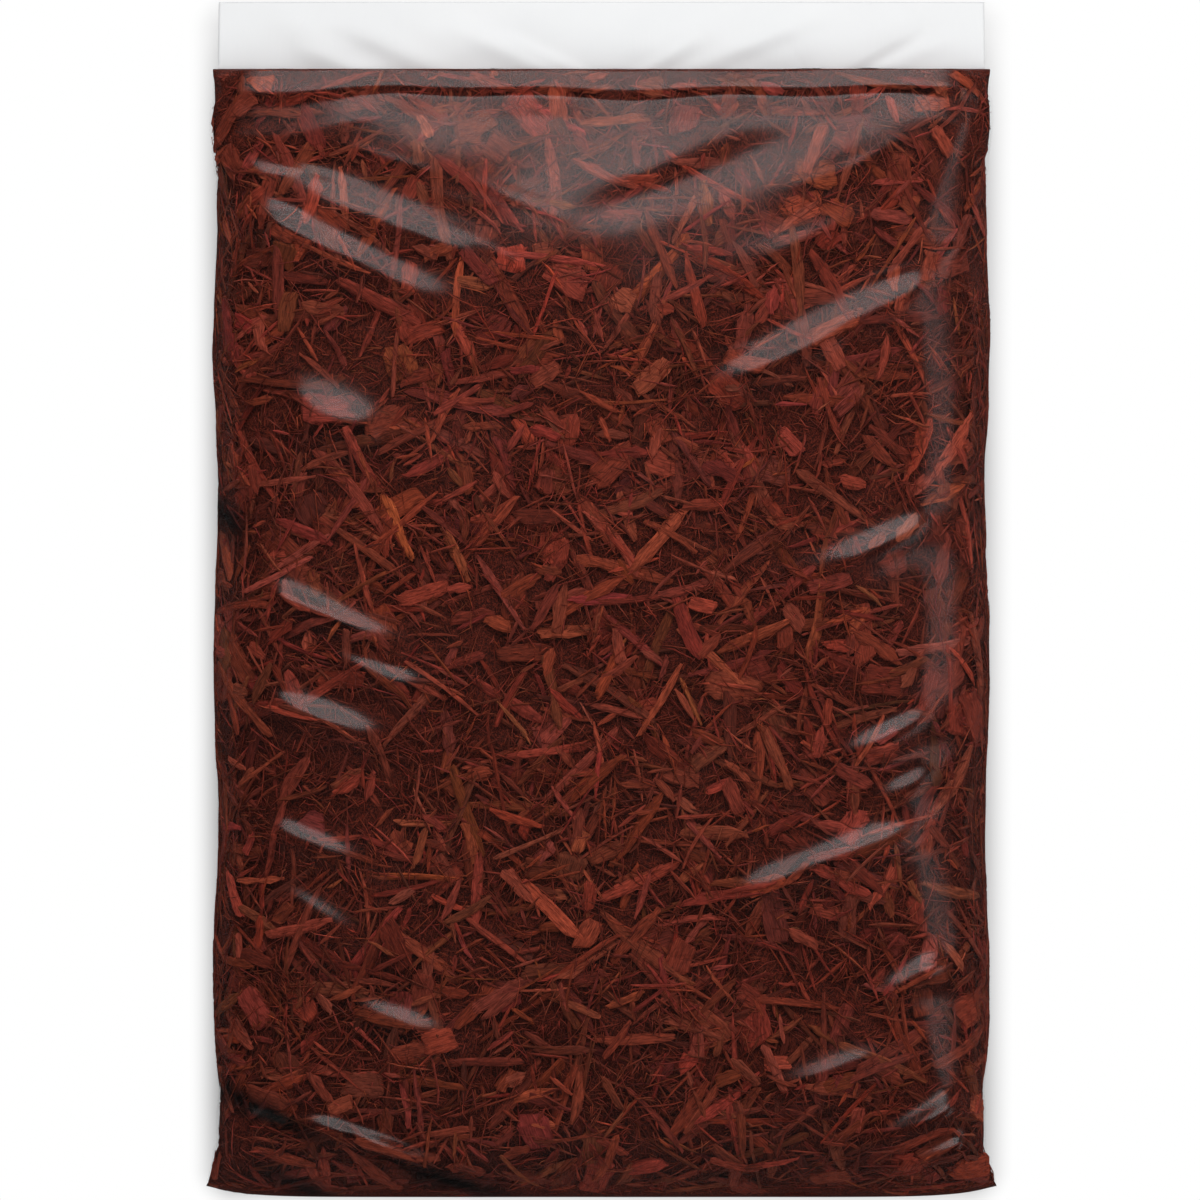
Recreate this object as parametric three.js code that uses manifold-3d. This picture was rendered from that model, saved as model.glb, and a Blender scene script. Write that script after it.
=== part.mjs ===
// Shredded wood mulch in a sealed, side-gusseted film bag, lying on its back.
// Millimetres. The front panel faces +Z and the flat header points to +Y. The origin is on
// the floor, under the middle of the bag's outline.

import * as THREE from "three";
import { mergeVertices } from "three/addons/utils/BufferGeometryUtils.js";
import Module from "manifold-3d";

// Overall sizes
const BODY_LENGTH = 847; // bottom seal to the weld under the header
const BODY_WIDTH = 581; // across the front panel, midway through the swell of its edges
const FILL_DEPTH = 140; // floor to the crown of the front panel
const HEADER_LENGTH = 51; // unfilled film above the weld
const HEADER_INSET = 3; // the flat header ends this far inside the body's edges
const HEADER_THICKNESS = 0.8; // two plies of film with a little air between them
const WELD_THICKNESS = 1.6; // pressed edge where the front and back panels meet

// Cross-section: a rounded box, softer on the front than on the side that carries the weight,
// and drawn out to the gussets' folded edges at both ends
const FRONT_SQUARENESS = 4;
const BACK_SQUARENESS = 7;
const END_SQUARENESS = 14;
const END_SQUARE_RUN = 150;
const GIRTH_SHARE = 0.42; // height of the widest line, as a share of the depth there
const REST_FLAT = 1.5; // how far the fill's weight presses the back panel flat

// Bottom end, where the panels close on the seal
const SEAL_HEIGHT = 40;
const SEAL_FRONT_RUN = 130; // length over which the front panel comes down to the seal
const SEAL_FRONT_SQUARENESS = 3;
const SEAL_BACK_RUN = 60;
const EAR_FLARE = 7; // the flat corners of the seal stand out past the filled sides
const EAR_RUN = 75;
const EAR_LIFT = 8; // the corner tips lie this far above the bottom edge
const EAR_SHARPNESS = 12;

// Top end, where slack film rolls over below the weld and the panel sags in a V behind the roll
const WELD_HEIGHT = 76;
const WELD_BACK_RUN = 80;
const TAPER_DEPTH = 22; // the fill thins by this much towards the weld
const TAPER_RUN = 240;
const ROLL_RUN = 18; // length of the roll's sloping top
const ROLL_TOP_RISE = 9;
const ROLL_WALL_RUN = 6; // length over which the roll stands up from the weld
const SAG_DEPTH = 25; // at the middle of the V's open end
const SAG_RUN = 150; // from the roll to the V's point
const SAG_POINT = 0.1; // place of the V's point, as a share of half the width
const SAG_HALF_SPAN = 0.74; // from there to both ends of the V
const SAG_POINT_ROUND = 0.06;
const SAG_SIDE_SHARE = 0.12; // sag that is left beside the V
const SHOULDER_BULGE = 4; // the sides swell a little where the fill meets the roll
const SHOULDER_BULGE_FROM_WELD = 42;
const SHOULDER_BULGE_REACH = 28;
const CREASE_DEPTH = 6;
const CREASE_WIDTH = 6;
const CREASE_FROM_WELD = 21;

// Side edges and gussets
const EDGE_SWELL = 2;
const EDGE_SWELL_PITCH = 244;
const EDGE_SWELL_CREST = 402; // distance of a crest from the bottom seal
const EDGE_SWELL_FADE = 60; // the swell dies out this close to both ends
const GUSSET_TUCK = 30; // the gussets are drawn in between the panels near both ends
const GUSSET_TUCK_FROM_END = 45;
const GUSSET_TUCK_REACH = 35;

// Lumps of the fill that show through the film, as waves that cross at odd angles
const LUMP_HEIGHT = 1.2;
const LUMP_WAVES = [
  { pitch: 131, heading: 17 },
  { pitch: 167, heading: 74 },
  { pitch: 103, heading: 128 },
];

// Header
const HEADER_DROOP = 15;
const HEADER_CORNER_DROOP = 5;
const HEADER_ROOT = 9; // length of header film held inside the weld

// Mesh steps
const FRONT_COLUMNS = 26;
const SIDE_ROWS = 6;
const BACK_COLUMNS = 6;
const STATION_STEP = 8.2;
const END_STATIONS = 6;
const END_STATIONS_RUN = 24;
const HEADER_COLUMNS = 36;
const HEADER_ROWS = 5;

const SEAL_Y = -(BODY_LENGTH + HEADER_LENGTH) / 2;
const WELD_Y = SEAL_Y + BODY_LENGTH;
const HEADER_WIDTH = BODY_WIDTH - 2 * HEADER_INSET;

// A fold is a ridge, or a valley where its height is negative, that fades out at both ends.
// Places are shares of a panel: u from -1 to 1 across it, v from 0 to 1 along it.
const fold = (from, to, height, width) => ({ from, to, height, width });

// Tension folds of the front panel. They fall from both side edges towards the middle.
const FRONT_FOLDS = [
  fold([-0.94, 0.876], [-0.37, 0.781], 7, 10),
  fold([-0.7, 0.884], [-0.32, 0.832], 4.5, 8),
  fold([-0.84, 0.716], [-0.53, 0.676], 5, 17),
  fold([-0.94, 0.55], [-0.51, 0.484], 6.5, 9),
  fold([-0.71, 0.484], [-0.45, 0.445], 5.5, 8),
  fold([-0.89, 0.45], [-0.55, 0.403], 6.5, 9),
  fold([-0.88, 0.333], [-0.64, 0.298], 6, 9),
  fold([-0.68, 0.304], [-0.53, 0.252], 3, 8),
  fold([-0.84, 0.276], [-0.6, 0.224], 3.5, 10),
  fold([-0.66, 0.175], [-0.37, 0.138], 5, 9),
  fold([-0.74, 0.07], [-0.34, 0.016], 7, 7),
  fold([-0.99, 0.1], [-0.68, 0.068], -6, 8),
  fold([-0.58, 0.044], [-0.22, 0.0], -8, 7),
  fold([-0.88, 0.044], [-0.66, 0.002], -5, 7),
  fold([0.25, 0.709], [0.89, 0.815], 7, 10),
  fold([0.36, 0.82], [0.79, 0.877], 4, 13),
  fold([0.84, 0.825], [0.98, 0.846], 3, 8),
  fold([0.5, 0.543], [0.88, 0.604], 6.5, 9),
  fold([0.62, 0.386], [0.88, 0.431], 5, 9),
  fold([0.72, 0.351], [0.9, 0.383], 3.5, 9),
  fold([0.33, 0.266], [0.85, 0.333], 7, 10),
  fold([0.71, 0.174], [0.97, 0.234], 5, 9),
  fold([0.82, 0.195], [0.99, 0.211], 3.5, 8),
  fold([0.38, 0.089], [0.74, 0.132], 3.5, 11),
  fold([0.7, 0.02], [0.95, 0.11], 6, 11),
  fold([0.8, 0.012], [0.97, 0.052], 6, 8),
  fold([-0.98, 0.952], [-0.42, 0.872], -4.5, 14),
  fold([0.52, 0.942], [-0.06, 0.864], -4.5, 12),
];

// Soft ripples of the header, which run down towards the middle of the weld
const HEADER_FOLDS = [
  fold([-0.86, 0.95], [-0.64, 0.02], 3, 9),
  fold([-0.72, 0.6], [-0.52, 0.02], -2.5, 8),
  fold([-0.48, 0.7], [-0.29, 0.04], 2.5, 9),
  fold([-0.25, 0.7], [-0.12, 0.1], -2, 8),
  fold([0.3, 0.75], [0.08, 0.1], 2.5, 9),
  fold([0.62, 0.85], [0.33, 0.05], 3, 10),
  fold([0.92, 0.75], [0.69, 0.1], -2.5, 9),
];

const clamp01 = (t) => THREE.MathUtils.clamp(t, 0, 1);

// 0 at the start of a run and 1 from its end on, setting off square to the run as a round end does.
const roundRise = (s, run, squareness = 2) =>
  (1 - (1 - clamp01(s / run)) ** squareness) ** (1 / squareness);

// 0 at the start of a run and 1 from its end on, levelling out towards the end.
const easedRise = (s, run) => 1 - (1 - clamp01(s / run)) ** 2;

const bell = (distance, reach) => Math.exp(-((distance / reach) ** 2));

// Height of all the folds of a panel at a point of it.
function foldHeight(folds, x, y, halfWidth, startY, length) {
  let height = 0;
  for (const f of folds) {
    const [fromX, fromY] = [f.from[0] * halfWidth, startY + f.from[1] * length];
    const [toX, toY] = [f.to[0] * halfWidth, startY + f.to[1] * length];
    const run = Math.hypot(toX - fromX, toY - fromY);
    const [dirX, dirY] = [(toX - fromX) / run, (toY - fromY) / run];
    const along = ((x - fromX) * dirX + (y - fromY) * dirY) / run;
    const off = (x - fromX) * -dirY + (y - fromY) * dirX;
    const fade = Math.max(0, 1 - (2 * along - 1) ** 4);
    height += f.height * fade * bell(off, f.width);
  }
  return height;
}

// Height of the fill's lumps at a point of the front panel.
function lumpHeight(x, y) {
  let height = 0;
  for (const { pitch, heading } of LUMP_WAVES) {
    const turn = THREE.MathUtils.degToRad(heading);
    const along = x * Math.cos(turn) + y * Math.sin(turn);
    height += LUMP_HEIGHT * Math.sin((2 * Math.PI * along) / pitch);
  }
  return height;
}

// How far the panel sags behind the roll. The V is deepest and longest at its middle.
function sagDepth(fromRoll, across) {
  const offPoint = Math.hypot(across - SAG_POINT, SAG_POINT_ROUND) - SAG_POINT_ROUND;
  const share = Math.max(SAG_SIDE_SHARE, 1 - offPoint / SAG_HALF_SPAN);
  return SAG_DEPTH * share * (1 - easedRise(fromRoll, SAG_RUN * share));
}

// Height of the front panel above the floor, before the section rounds off its sides.
function frontHeight(fromSeal, fromWeld, across) {
  const sealTop = SEAL_HEIGHT + WELD_THICKNESS / 2;
  const weldTop = WELD_HEIGHT + WELD_THICKNESS / 2;
  const sealRise = roundRise(fromSeal, SEAL_FRONT_RUN, SEAL_FRONT_SQUARENESS);
  const sealDrop = (FILL_DEPTH - sealTop) * (1 - sealRise);
  const taper = TAPER_DEPTH * (1 - easedRise(fromWeld, TAPER_RUN));
  const sag = sagDepth(fromWeld - ROLL_RUN, across);
  const wallHeight = FILL_DEPTH - TAPER_DEPTH - sagDepth(0, across) - ROLL_TOP_RISE - weldTop;
  const wallDrop = wallHeight * (1 - roundRise(fromWeld, ROLL_WALL_RUN));
  const rollDrop = ROLL_TOP_RISE * (1 - easedRise(fromWeld, ROLL_RUN));
  return FILL_DEPTH - sealDrop - taper - sag - wallDrop - rollDrop;
}

// Height of the back panel above the floor.
function backHeight(fromSeal, fromWeld) {
  const sealUnder = SEAL_HEIGHT - WELD_THICKNESS / 2;
  const weldUnder = WELD_HEIGHT - WELD_THICKNESS / 2;
  const sealLift = sealUnder * (1 - roundRise(fromSeal, SEAL_BACK_RUN));
  const weldLift = weldUnder * (1 - roundRise(fromWeld, WELD_BACK_RUN));
  return sealLift + weldLift;
}

// Half the bag's width: a slow swell along the edges, the shoulders and the flared ears.
function halfWidthAt(fromSeal, fromWeld) {
  const wave = Math.cos((2 * Math.PI * (fromSeal - EDGE_SWELL_CREST)) / EDGE_SWELL_PITCH);
  const swell = EDGE_SWELL * wave * clamp01(Math.min(fromSeal, fromWeld) / EDGE_SWELL_FADE);
  const shoulder = SHOULDER_BULGE * bell(fromWeld - SHOULDER_BULGE_FROM_WELD, SHOULDER_BULGE_REACH);
  const ear = EAR_FLARE * (1 - clamp01(fromSeal / EAR_RUN)) ** 2;
  return BODY_WIDTH / 2 + swell + shoulder + ear;
}

// Surface point of the filled body. around is a point on the edge of a square from -1 to 1,
// which the section draws out into a rounded box.
function bodyPoint(stationY, around) {
  const fromSeal = stationY - SEAL_Y;
  const fromWeld = WELD_Y - stationY;
  const fromEnd = Math.min(fromSeal, fromWeld);
  const filledSquareness = around.z > 0 ? FRONT_SQUARENESS : BACK_SQUARENESS;
  const filled = easedRise(fromEnd, END_SQUARE_RUN);
  const squareness = THREE.MathUtils.lerp(END_SQUARENESS, filledSquareness, filled);
  const reach = (Math.abs(around.x) ** squareness + Math.abs(around.z) ** squareness) ** (-1 / squareness);
  const across = around.x * reach;
  const up = around.z * reach;
  const front = frontHeight(fromSeal, fromWeld, across);
  const back = backHeight(fromSeal, fromWeld);
  const girth = back + (front - back) * GIRTH_SHARE;

  // The gusset's middle is drawn in near both ends, and comes back flush at the seals.
  const tuck =
    GUSSET_TUCK *
    bell(fromEnd - GUSSET_TUCK_FROM_END, GUSSET_TUCK_REACH) *
    easedRise(fromEnd, GUSSET_TUCK_FROM_END);
  const x = across * halfWidthAt(fromSeal, fromWeld) - Math.sign(across) * tuck * (1 - Math.abs(up)) ** 2;

  // The corners of the bottom seal lie a little above its straight edge.
  const ear = 1 - clamp01(fromSeal / EAR_RUN);
  const y = stationY + EAR_LIFT * ear * Math.abs(across) ** EAR_SHARPNESS;

  if (up <= 0) {
    const lifted = girth + up * (girth - back) + REST_FLAT * Math.max(up, -1);
    return new THREE.Vector3(x, y, Math.max(0, lifted));
  }
  const fullness = clamp01((front - back) / (FILL_DEPTH / 2));
  const lumps = lumpHeight(x, y);
  const crease = CREASE_DEPTH * bell(fromWeld - CREASE_FROM_WELD, CREASE_WIDTH) * (1 - across ** 4);
  const folds = foldHeight(FRONT_FOLDS, x, y, BODY_WIDTH / 2, SEAL_Y, BODY_LENGTH);
  const relief = (lumps + folds) * fullness - crease;
  const onPanel = THREE.MathUtils.smoothstep(up, 0.25, 0.8);
  return new THREE.Vector3(x, y, girth + up * (front - girth) + relief * onPanel);
}

// Points around the edge of a square: right side going up, front, left side, back.
function squareEdge() {
  const edge = [];
  const walk = (count, at) => {
    for (let i = 0; i < count; i++) edge.push(at(-1 + (2 * i) / count));
  };
  walk(SIDE_ROWS, (q) => ({ x: 1, z: q }));
  walk(FRONT_COLUMNS, (q) => ({ x: -q, z: 1 }));
  walk(SIDE_ROWS, (q) => ({ x: -1, z: -q }));
  walk(BACK_COLUMNS, (q) => ({ x: q, z: -1 }));
  return edge;
}

// Places of the sections along the body, closer together where the ends turn over.
function stationPlaces() {
  const fromEnd = [];
  for (let i = 0; i <= END_STATIONS; i++) fromEnd.push(END_STATIONS_RUN * (i / END_STATIONS) ** 2);
  const middleLength = BODY_LENGTH - 2 * END_STATIONS_RUN;
  const count = Math.ceil(middleLength / STATION_STEP);
  const middle = [];
  for (let i = 1; i < count; i++) middle.push(SEAL_Y + END_STATIONS_RUN + (middleLength * i) / count);
  return [...fromEnd.map((s) => SEAL_Y + s), ...middle, ...fromEnd.map((s) => WELD_Y - s).reverse()];
}

const centreOf = (points) =>
  points.reduce((sum, p) => sum.add(p), new THREE.Vector3()).divideScalar(points.length);

// Closed mesh over a stack of rings, capped by fans. Each ring runs counter-clockwise seen
// from the first ring's outer side. leansRight picks the way each four-sided patch is split.
function loft(rings, leansRight) {
  const size = rings[0].length;
  const points = rings.flat();
  const index = [];
  for (let j = 0; j + 1 < rings.length; j++) {
    for (let i = 0; i < size; i++) {
      const next = (i + 1) % size;
      const [a, b] = [j * size + i, j * size + next];
      const [c, d] = [(j + 1) * size + i, (j + 1) * size + next];
      if (leansRight(points[a])) index.push(a, c, b, c, d, b);
      else index.push(a, c, d, a, d, b);
    }
  }
  const last = (rings.length - 1) * size;
  const firstCentre = points.push(centreOf(rings[0])) - 1;
  const lastCentre = points.push(centreOf(rings.at(-1))) - 1;
  for (let i = 0; i < size; i++) {
    const next = (i + 1) % size;
    index.push(firstCentre, i, next);
    index.push(lastCentre, last + next, last + i);
  }
  return new THREE.BufferGeometry().setFromPoints(points).setIndex(index);
}

function filledBody() {
  const edge = squareEdge();
  const rings = stationPlaces().map((y) => edge.map((around) => bodyPoint(y, around)));
  return loft(rings, (p) => p.x > 0);
}

// The header is a thin sheet that droops from the weld to its free edge. Its root lies inside
// the weld, so that the two join as one piece.
function headerSheet() {
  const rings = [];
  for (let j = 0; j <= HEADER_ROWS; j++) {
    const fromWeld = -HEADER_ROOT + ((HEADER_LENGTH + HEADER_ROOT) * j) / HEADER_ROWS;
    const out = clamp01(fromWeld / HEADER_LENGTH);
    const ply = [];
    for (let i = 0; i <= HEADER_COLUMNS; i++) {
      const across = 1 - (2 * i) / HEADER_COLUMNS;
      const x = (across * HEADER_WIDTH) / 2;
      const y = WELD_Y + fromWeld;
      const droop = (HEADER_DROOP + HEADER_CORNER_DROOP * across ** 4) * out ** 1.5;
      const ripple = foldHeight(HEADER_FOLDS, x, y, HEADER_WIDTH / 2, WELD_Y, HEADER_LENGTH);
      ply.push(new THREE.Vector3(x, y, WELD_HEIGHT - droop + ripple * clamp01(3 * out)));
    }
    const lifted = (by) => (p) => p.clone().setZ(p.z + by);
    const front = ply.map(lifted(HEADER_THICKNESS / 2));
    const back = ply.map(lifted(-HEADER_THICKNESS / 2)).reverse();
    rings.push([...front, ...back]);
  }
  return loft(rings, (p) => p.x > 0);
}

const wasm = await Module();
wasm.setup();

function toSolid(geometry) {
  const merged = mergeVertices(geometry);
  return new wasm.Manifold(
    new wasm.Mesh({
      numProp: 3,
      vertProperties: new Float32Array(merged.attributes.position.array),
      triVerts: new Uint32Array(merged.index.array),
    }),
  );
}

function toGeometry(solid) {
  const mesh = solid.getMesh();
  const geometry = new THREE.BufferGeometry();
  geometry.setAttribute("position", new THREE.BufferAttribute(mesh.vertProperties, mesh.numProp));
  geometry.setIndex(new THREE.BufferAttribute(mesh.triVerts, 1));
  geometry.computeVertexNormals();
  return geometry;
}

// Dyed mulch seen through clear film: dark red-brown with the film's low gloss.
const mulchUnderFilm = new THREE.MeshStandardMaterial({ color: 0x50271f, roughness: 0.35, metalness: 0 });

const bag = new THREE.Mesh(toGeometry(toSolid(filledBody()).add(toSolid(headerSheet()))), mulchUnderFilm);
bag.name = "mulch_bag";

const part = new THREE.Group();
part.add(bag);

export default part;
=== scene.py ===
"""A sealed bag of clear film, filled with shredded red wood mulch and lying on its back."""

import math

import bmesh
import bpy
import numpy as np
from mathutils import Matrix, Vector, noise
from mathutils.bvhtree import BVHTree


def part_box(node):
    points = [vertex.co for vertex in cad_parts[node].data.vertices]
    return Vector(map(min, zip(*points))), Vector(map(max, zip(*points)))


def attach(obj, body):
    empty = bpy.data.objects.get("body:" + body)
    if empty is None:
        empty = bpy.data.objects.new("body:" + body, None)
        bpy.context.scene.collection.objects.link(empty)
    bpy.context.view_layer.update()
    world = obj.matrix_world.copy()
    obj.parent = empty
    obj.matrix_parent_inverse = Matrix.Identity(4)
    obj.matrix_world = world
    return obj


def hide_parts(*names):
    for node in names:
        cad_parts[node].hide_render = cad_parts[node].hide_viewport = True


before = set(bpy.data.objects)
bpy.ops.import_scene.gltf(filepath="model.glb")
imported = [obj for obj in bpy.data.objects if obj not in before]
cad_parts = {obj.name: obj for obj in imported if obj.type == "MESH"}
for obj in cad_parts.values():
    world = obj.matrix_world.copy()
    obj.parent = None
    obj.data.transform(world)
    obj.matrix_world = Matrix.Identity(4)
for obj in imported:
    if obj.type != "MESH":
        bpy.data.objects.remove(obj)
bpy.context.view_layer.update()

# Film body: one side-gusseted tube of clear polyethylene, about 0.1 mm thick, closed by a seal at
# the bottom and a straight weld near the top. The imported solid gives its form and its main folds,
# and the slack of the film adds the finer creases here.

MM = 0.001
HEADER_LENGTH = 0.051
PANEL_HALF_WIDTH = 0.2905
SAME_POINT = 1e-5
FILM_LEVELS = 2
SHARP_ANGLE = math.radians(62)

# Crumpling of the film where it stands up, at the sides and the ends
CRUMPLE = 0.003
CRUMPLE_GRAIN = 24.0
CRUMPLE_FLAT = 0.9
CRUMPLE_MOST = 0.5

# The rolled end below the weld: distance from the weld, and height above the crease behind the roll,
# both in millimetres
ROLL_PROFILE = [(0, -6.2), (1.5, -5.4), (13.0, 0.1), (15.5, 0.8), (17.5, 0.6), (20.0, 0), (22.0, 0.1)]
ROLL_SWAY = 0.13
ROLL_SWAY_PITCHES = (0.31, 0.13)
ROLL_SWAY_PHASES = (1.2, 0.4)
ROLL_LEFT_SAG = 0.22
ROLL_LEFT_FROM = -0.15
ROLL_LEFT_RUN = 0.08
ROLL_HALF_WIDTH = 0.283
ROLL_SIDE_FADE = 0.014
ROLL_FACING = 0.02
SHOULDER_RUN = 0.040
SHOULDER_POINTS = 45
CREASE_DEPTH_MIDDLE = 0.0098
CREASE_DEPTH_SIDES = 0.004
CREASE_MIDDLE = 0.0225
CREASE_HALF_WIDTH = 0.225
CREASE_FADE = 0.06

# Folds of the header that cross the weld and run out on the roll: both ends of the ridge across and
# above the weld, its height, and how far it falls away above and below, all in millimetres
HEADER_FOLDS = [
    (-234, 19, -157, -14, 1.7, 8, 10),
    (-215, 42, -88, -16, 2.2, 12, 9),
    (-121, 39, -14, -15, 2.1, 9, 9),
    (-76, 27, 4, -12, 1.0, 5, 5),
    (17, -12, 76, 25, 1.5, 6, 7),
    (46, -13, 149, 34, 1.7, 8, 9),
    (54, -12, 187, 39, -1.5, 9, 9),
    (159, -12, 243, 36, 3.0, 26, 8),
    (185, -12, 268, 28, 1.5, 6, 8),
]
WELD_FOLD_RUN = 0.013

# Where the filled tube is let out towards its flat ends: height above the seal, reach, and share
WAISTS = [(0.806, 0.026, 0.008), (0.767, 0.024, 0.016), (0.058, 0.021, 0.017)]

# Fine creases of the slack film: their number, then the least and the most of their place as a share
# of the panel, their slope in degrees, and their length, height and width
SLACK_COUNT = 140
SLACK_ACROSS = (0.25, 0.97)
SLACK_UP = (0.03, 0.95)
SLACK_SLOPE = (14, 34)
SLACK_LENGTH = (0.025, 0.085)
SLACK_RISE = (0.0002, 0.0007)
SLACK_WIDTH = (0.0022, 0.0042)

# Creases rise where the film faces up by more than the first share, and in full one run on. The
# power says how late they fade out to their ends.
LIFT_FROM = 0.35
LIFT_RUN = 0.3
CREASE_END_POWER = 2.5

# The film's gloss: its share everywhere, and what clouding and a shallow view add to it
GLOSS_PLAIN = 0.019
GLOSS_CLOUD = 0.016
GLOSS_EDGE = 0.004
GLOSS_ROUGHNESS = 0.20
GLOSS_ROUGHNESS_HAZE = 0.1

# Backs of the main folds: both ends of the ridge across and above the seal, its height, and how far
# it falls away above and below, all in millimetres
FOLD_BACKS = [
    (-280, 746, -124, 671, 2.6, 11, 20),
    (-279, 750, -220, 720, 2.9, 10, 16),
    (-154, 732, -88, 700, 1.6, 9, 16),
    (-238, 589, -163, 567, 7.1, 16, 22),
    (-280, 467, -146, 407, 2.7, 10, 18),
    (-205, 408, -133, 375, 3.0, 10, 16),
    (-275, 381, -156, 335, 4.0, 11, 18),
    (-270, 286, -182, 250, 3.2, 10, 16),
    (-250, 238, -172, 189, 2.3, 9, 16),
    (-198, 149, -104, 114, 3.7, 11, 18),
    (-234, 66, -136, 28, 6.2, 9, 9),
    (-180, 45, -82, 6, 11.4, 10, 8),
    (70, 595, 181, 646, 4.5, 12, 18),
    (244, 701, 285, 716, 3.7, 8, 12),
    (176, 467, 258, 508, 4.2, 12, 18),
    (172, 324, 262, 368, 4.8, 11, 16),
    (200, 294, 268, 328, 3.1, 9, 14),
    (96, 223, 249, 280, 2.6, 13, 20),
    (92, 222, 145, 241, 3.1, 12, 18),
    (198, 142, 280, 197, 3.5, 10, 16),
    (237, 167, 292, 179, 2.1, 8, 12),
    (104, 73, 226, 112, 3.0, 11, 18),
    (190, 36, 282, 77, 8.4, 10, 9),
    (206, 15, 284, 49, 11.0, 9, 8),
]

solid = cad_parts["mulch_bag"]
bag_low, bag_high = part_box("mulch_bag")
seal_y = bag_low.y
weld_y = bag_high.y - HEADER_LENGTH
body_length = weld_y - seal_y


def solid_beside_weld(header_side):
    """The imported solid's faces on one side of the weld, joined back into four-sided patches."""
    part = bmesh.new()
    part.from_mesh(solid.data)
    bmesh.ops.remove_doubles(part, verts=part.verts, dist=SAME_POINT)
    other_side = [
        face
        for face in part.faces
        if (max(v.co.y for v in face.verts) > weld_y + SAME_POINT) != header_side
    ]
    bmesh.ops.delete(part, geom=other_side, context="FACES")
    bmesh.ops.join_triangles(
        part,
        faces=part.faces[:],
        angle_face_threshold=math.pi,
        angle_shape_threshold=math.pi,
    )
    rim = [edge for edge in part.edges if edge.is_boundary]
    bmesh.ops.holes_fill(part, edges=rim, sides=0)
    crease = part.edges.layers.float.new("crease_edge")
    for edge in part.edges:
        edge[crease] = float(edge.calc_face_angle(0.0) > SHARP_ANGLE)
    return part


def smoothed_mesh(part, name, levels):
    """A mesh of the patches, subdivided as a smooth surface."""
    rough = bpy.data.meshes.new(name + "_patches")
    part.to_mesh(rough)
    part.free()
    holder = bpy.data.objects.new(name + "_patches", rough)
    bpy.context.scene.collection.objects.link(holder)
    subdivide = holder.modifiers.new("smooth", "SUBSURF")
    subdivide.levels = levels
    subdivide.boundary_smooth = "PRESERVE_CORNERS"
    shaped = holder.evaluated_get(bpy.context.evaluated_depsgraph_get())
    mesh = bpy.data.meshes.new_from_object(shaped)
    mesh.name = name
    bpy.data.objects.remove(holder)
    bpy.data.meshes.remove(rough)
    return mesh


def vertex_vectors(mesh, what):
    """The places or normals of a mesh's vertices, as an array of three columns."""
    found = np.empty(len(mesh.vertices) * 3, np.float32)
    mesh.vertices.foreach_get(what, found)
    return found.reshape(-1, 3).astype(float)


def crease_height(x, y, creases):
    """Height that creases add at each point. Each rises along a line and fades out at its ends."""
    height = np.zeros_like(x)
    for x0, y0, x1, y1, rise, above, below in creases:
        length = math.hypot(x1 - x0, y1 - y0)
        along = ((x - x0) * (x1 - x0) + (y - y0) * (y1 - y0)) / length**2
        off = ((y - y0) * (x1 - x0) - (x - x0) * (y1 - y0)) / length
        fade = np.clip(1 - np.abs(2 * along - 1) ** CREASE_END_POWER, 0, 1)
        height += rise * fade * np.exp(-((off / np.where(off > 0, above, below)) ** 2))
    return height


def slack_creases(count, seed):
    """Fine tension creases of the front panel. They fall from the side edges to the middle."""
    chance = np.random.default_rng(seed)
    creases = []
    for _ in range(count):
        side = chance.choice((-1, 1))
        x = side * PANEL_HALF_WIDTH * chance.uniform(*SLACK_ACROSS)
        y = body_length * chance.uniform(*SLACK_UP)
        slope = math.radians(chance.uniform(*SLACK_SLOPE))
        length = chance.uniform(*SLACK_LENGTH)
        rise = chance.uniform(*SLACK_RISE)
        width = chance.uniform(*SLACK_WIDTH)
        inner = (x - side * length * math.cos(slope), y - length * math.sin(slope))
        ends = (x, y, *inner) if side < 0 else (*inner, x, y)
        creases.append((*ends, rise, width, width))
    return creases


def surface_tree(mesh):
    """A tree for finding places on a mesh."""
    faces = [list(face.vertices) for face in mesh.polygons]
    return BVHTree.FromPolygons(vertex_vectors(mesh, "co").tolist(), faces)


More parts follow.
